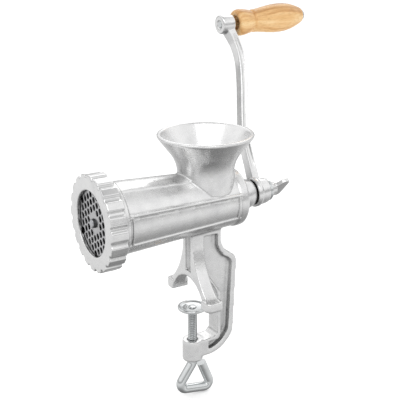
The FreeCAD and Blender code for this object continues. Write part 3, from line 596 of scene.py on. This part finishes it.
def crank_arm():
    """Arm with a shallow trough in each flank, a hub and a boss for the grip."""
    mesh = bmesh.new()
    line = spline(ARM_LINE, 8)
    rings = []
    for number, point in enumerate(line):
        along = (line[min(number + 1, len(line) - 1)] - line[max(number - 1, 0)]).normalized()
        back = Vector((0, along.y, -along.x))
        centre = Vector((0, point.x, point.y))
        rings.append([mesh.verts.new(CRANK @ (centre + Vector((across, 0, 0)) + back * deep))
                      for across, deep in arm_section(number / (len(line) - 1))])
    join_rings(mesh, rings)
    hub = [
        (HUB_FRONT, HUB_BORE), (HUB_FRONT, 12.6), (158.0, 13.3), (160.8, 13.3), (162.4, 12.4),
        (166, 12.0), (170.4, 11.2), (HUB_BACK, 10.4), (HUB_BACK, HUB_BORE),
    ]
    add_lathe(mesh, closed(hub), CRANK)
    boss = [
        (0.9, 0), (0.9, 3.5), (0, 4.4), (0, 7.6), (0.9, 8.5), (4, 8.6), (10, 8.2),
        (BOSS_LENGTH - 0.9, 8.0), (BOSS_LENGTH, 7.2), (BOSS_LENGTH, 0),
    ]
    add_lathe(mesh, boss, GRIP, 72)
    bmesh.ops.remove_doubles(mesh, verts=mesh.verts, dist=1e-4)
    bmesh.ops.recalc_face_normals(mesh, faces=mesh.faces)
    return cast_piece("crank_arm_skin", in_metres(mesh), 0.42, 5)


def wing_screw():
    return cast_piece("wing_screw_skin", node_mesh("wing_screw"), 0.4, 6)


def crank_washer():
    """Washer between the hub and the wing screw, in the place of its CAD node."""
    low, high = (corner.y / MM + FACE_TO_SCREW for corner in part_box("crank_washer"))
    bore = 4.1
    radius = 10.0
    profile = rounded([(low, bore), (low, radius), (high, radius), (high, bore)], 0.5)
    return turned_piece("crank_washer_skin", closed(profile), BARREL)


# ---------------------------------------------------------------- grip

WOOD = BOSS_LENGTH + 3.4    # where the wood starts
WOOD_END = WOOD + 74
PIN_RADIUS = 3.2
PIN_HOLE = 3.3


def grip():
    """Turned handle: flared end with a recess, a groove cut at the neck, and a full belly."""
    line = [
        (WOOD + 5, PIN_HOLE), (WOOD + 5, 6.0), (WOOD + 0.6, 6.6), (WOOD + 0.1, 7.6),
        (WOOD, 9.4), (WOOD + 0.9, 11.0),
        (WOOD + 2.6, 11.9), (WOOD + 5.2, 12.1), (WOOD + 8.4, 11.8), (WOOD + 11.4, 11.2), (WOOD + 14.4, 10.55),
        (WOOD + 15.8, 10.3), (WOOD + 16.8, 9.3), (WOOD + 18.0, 9.3), (WOOD + 18.9, 10.4),
        (WOOD + 22, 10.45), (WOOD + 28, 11.2), (WOOD + 35, 12.3), (WOOD + 42, 13.05), (WOOD + 48, 13.2),
        (WOOD + 54, 12.9), (WOOD + 60, 11.9), (WOOD + 65, 10.4), (WOOD + 69, 8.9), (WOOD + 72, 7.5),
        (WOOD + 73.4, 6.7), (WOOD_END, 5.9), (WOOD_END, PIN_HOLE),
    ]
    return turned_piece("grip_wood", closed(rounded(line, 6.0, 5)), GRIP, 128)


def grip_cap():
    """Small washer at the free end of the wood."""
    start = WOOD_END + 0.1
    end = start + 1.2
    line = [(start, PIN_HOLE), (start, 5.6), (end, 5.3), (end, PIN_HOLE)]
    return turned_piece("grip_cap_skin", closed(rounded(line, 0.35)), GRIP, 64)


def grip_bolt():
    """Pin through the wood, riveted in the boss, with a domed head at its free end."""
    head = WOOD_END + 1.4
    line = [
        (0.3, 0), (0.3, 2.5, 0.2), (0.8, PIN_RADIUS, 0.3), (head, PIN_RADIUS, 0),
        (head, 4.7, 0.2), (head + 0.8, 4.6, 0.6), (head + 1.9, 2.8, 1.4), (head + 2.2, 0),
    ]
    return turned_piece("grip_bolt_skin", rounded(line, 0.4), GRIP, 64)


# ---------------------------------------------------------------- clamp

PAD_TOP = -8.0              # heights above the table top
PAD_BASE = -13.2
PAD_DISH = -9.5
PAD_RADIUS = 13.2
PAD_BORE = 2.5
RIVET_RADIUS = 2.4          # neck of the riveted end, inside the pad
BAR_RADIUS = 4.3
BAR_TOP = -13.3             # shoulder under the pad
EYE_NECK = -64.8            # bend between the straight bar and the eye
EYE_BOTTOM = -97.6
THREAD_CREST = 4.28
THREAD_ROOT = 3.45
THREAD_PITCH = 1.75


def clamp_pad():
    """Dished disc with a raised rim, turning on the riveted end of the clamp screw."""
    line = [
        (PAD_BASE, PAD_BORE, 0), (PAD_BASE, 6.3, 0.5), (-11.2, 9.4, 4.0), (-10.7, 12.6, 0.6),
        (-10.0, PAD_RADIUS, 0.5), (-8.7, PAD_RADIUS, 0.5), (PAD_TOP, 12.5, 0.6), (-8.1, 11.3, 0.6),
        (-9.3, 9.2, 2.5), (PAD_DISH, 5.4, 1.0), (PAD_DISH, PAD_BORE, 0),
    ]
    return turned_piece("clamp_pad_skin", closed(rounded(line, 0.4)), CLAMP)


def rounded_path(points, radii, steps=14):
    """Line through points in the YZ plane with its inner corners turned into true arcs."""
    path = [Vector((0, *points[0]))]
    for before, corner, after, radius in zip(points, points[1:], points[2:], radii):
        here = Vector((0, *corner))
        inward = (Vector((0, *before)) - here).normalized()
        outward = (Vector((0, *after)) - here).normalized()
        half = inward.angle(outward) / 2
        middle = here + (inward + outward).normalized() * (radius / math.sin(half))
        first = here + inward * (radius / math.tan(half)) - middle
        last = here + outward * (radius / math.tan(half)) - middle
        sweep = first.angle(last)
        normal = first.cross(last).normalized()
        for step in range(steps + 1):
            path.append(middle + Matrix.Rotation(sweep * step / steps, 3, normal) @ first)
    path.append(Vector((0, *points[-1])))
    return path


def clamp_screw():
    """Threaded bar with a riveted top and its lower end bent into an eye."""
    mesh = bmesh.new()
    low = EYE_BOTTOM + BAR_RADIUS
    corners = [
        (0, EYE_NECK + 3.8),
        (0, EYE_NECK),
        (-17, low + 4.5),
        (20, low - 1.5),
        (9, EYE_NECK - 2.7),
    ]
    add_tube(mesh, rounded_path(corners, [8, 6, 5]), BAR_RADIUS)
    add_thread(mesh, EYE_NECK + 3.3, BAR_TOP - 0.6, THREAD_CREST, THREAD_ROOT, THREAD_PITCH, CLAMP)
    rivet = [
        (BAR_TOP - 0.7, 0), (BAR_TOP - 0.7, 3.6, 0.2), (BAR_TOP, 3.9, 0.2), (BAR_TOP, RIVET_RADIUS, 0),
        (PAD_DISH + 0.1, RIVET_RADIUS, 0), (PAD_DISH + 0.1, 3.9, 0.3), (-8.5, 3.2, 0.8), (PAD_TOP - 0.05, 0),
    ]
    add_lathe(mesh, rounded(rivet, 0.3), CLAMP, 48)
    return finished(mesh, "clamp_screw_skin")


# ---------------------------------------------------------------- machined pieces

def hole_plate():
    return bevelled("hole_plate_skin", "hole_plate", 0.25)


def auger():
    return bevelled("auger_skin", "auger", 0.5)


def knife():
    return bevelled("knife_skin", "knife", 0.3)


def auger_stud():
    return bevelled("auger_stud_skin", "auger_stud", 0.3)


# ---------------------------------------------------------------- assembly

# what makes each piece, its body, the CAD nodes it stands in for, its slot and its material
PIECES = [
    (body_casting, "stand", ["body_casting"], "tinned_casting", CAST),
    (ring_nut, "ring", ["ring_nut"], "tinned_casting", CAST_FINE),
    (hole_plate, "outlet_plate", ["hole_plate"], "plate_steel", PLATE_STEEL),
    (crank_arm, "rotor", ["crank_arm"], "tinned_casting", CAST_FINE),
    (wing_screw, "wing_screw", ["wing_screw"], "tinned_casting", CAST_FINE),
    (crank_washer, "washer", ["crank_washer"], "zinc", ZINC),
    (grip, "handle", ["grip"], "beech", BEECH),
    (grip_cap, "handle", ["grip_cap"], "zinc", ZINC),
    (grip_bolt, "rotor", ["grip_bolt"], "zinc", ZINC),
    (clamp_pad, "pad", ["clamp_pad"], "zinc", ZINC),
    (clamp_screw, "clamp_screw", ["clamp_screw"], "zinc", ZINC),
    (auger, "rotor", ["auger"], "tinned_casting", CAST),
    (knife, "rotor", ["knife"], "steel", STEEL),
    (auger_stud, "rotor", ["auger_stud"], "steel", STEEL),
]
for make, body, nodes, slot, material in PIECES:
    finish_piece(make(), body, nodes, material)

# three hidden pieces keep their CAD meshes
for node, material in (("plate_key", STEEL), ("rear_bush", BRONZE), ("thrust_washer", FIBRE)):
    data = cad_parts[node].data
    data.materials.clear()
    data.materials.append(material)


# ---------------------------------------------------------------- room, in metres

FLOOR_SIZE = 40.0
FLOOR_GAP = 0.0005          # between the lowest point of the object and the floor
OBJECT_MIDDLE = Vector((0, 0, 0.08))


def floor():
    """Pale floor just below the object, left out of its reflections."""
    mesh = bmesh.new()
    bmesh.ops.create_grid(mesh, x_segments=2, y_segments=2, size=FLOOR_SIZE)
    data = bpy.data.meshes.new("floor")
    mesh.to_mesh(data)
    mesh.free()
    thing = bpy.data.objects.new("floor", data)
    bpy.context.scene.collection.objects.link(thing)
    thing.location.z = cad_low.z - FLOOR_GAP
    material, tree, shader = new_material("floor")
    shade = ramp(tree, noise(tree, place_coordinates(tree), 3, 2), [(0.3, (0.93,)), (0.7, (0.96,))])
    tree.links.new(shade, shader.inputs["Base Color"])
    tree.links.new(shade, shader.inputs["Emission Color"])
    shader.inputs["Emission Strength"].default_value = 0.35
    shader.inputs["Roughness"].default_value = 0.9
    shader.inputs["Specular IOR Level"].default_value = 0.1
    data.materials.append(material)
    thing.visible_glossy = False


def softbox(name, place, size, power):
    """Rectangular light that faces the object."""
    data = bpy.data.lights.new(name, "AREA")
    data.shape = "RECTANGLE"
    data.size, data.size_y = size
    data.energy = power
    thing = bpy.data.objects.new(name, data)
    bpy.context.scene.collection.objects.link(thing)
    thing.location = place
    aim = OBJECT_MIDDLE - Vector(place)
    thing.rotation_euler = aim.to_track_quat("-Z", "Y").to_euler()
    thing.visible_camera = False


def studio():
    """Pale surroundings with darker bands, so that bright metal has something to show."""
    world = bpy.data.worlds.new("studio")
    bpy.context.scene.world = world
    world.use_nodes = True
    tree = world.node_tree
    source = tree.nodes.new("ShaderNodeTexCoord")
    parts = tree.nodes.new("ShaderNodeSeparateXYZ")
    tree.links.new(source.outputs["Generated"], parts.inputs["Vector"])
    # greys from straight down (0) through the horizon (0.5) to straight up (1)
    sky = ramp(tree, remap(tree, parts.outputs["Z"], 0, 1, -1, 1), [
        (0.0, (0.20,)), (0.13, (0.38,)), (0.24, (0.66,)), (0.34, (0.84,)), (0.44, (0.86,)), (0.50, (0.40,)),
        (0.57, (0.50,)), (0.68, (1.0,)), (0.80, (1.0,)), (0.92, (0.82,)), (1.0, (0.42,)),
    ])
    background = tree.nodes["Background"]
    tree.links.new(sky, background.inputs["Color"])
    background.inputs["Strength"].default_value = 1.0


floor()
studio()
softbox("key", (0.5, -1.2, 1.5), (1.2, 0.9), 3)
softbox("side", (1.2, -0.3, 1.6), (0.8, 0.8), 2)
softbox("rear", (-1.2, 0.9, 1.4), (1.2, 1.0), 3)

CAMERA_PLACE = (0.6369, -0.3686, 0.3418)
CAMERA_TURN = math.radians(59.38)       # about the vertical, from looking along +Y
CAMERA_DIP = math.radians(18.77)        # below the horizontal
CAMERA_ROLL = math.radians(-0.19)

view = bpy.data.cameras.new("camera")
view.lens = 81.33
view.sensor_width = 36
view.clip_end = 50
camera = bpy.data.objects.new("camera", view)
bpy.context.scene.collection.objects.link(camera)
camera.matrix_world = (
    Matrix.Translation(CAMERA_PLACE)
    @ Matrix.Rotation(CAMERA_TURN, 4, "Z")
    @ Matrix.Rotation(math.radians(90) - CAMERA_DIP, 4, "X")
    @ Matrix.Rotation(CAMERA_ROLL, 4, "Z")
)
bpy.context.scene.camera = camera
bpy.context.scene.view_settings.view_transform = "Standard"
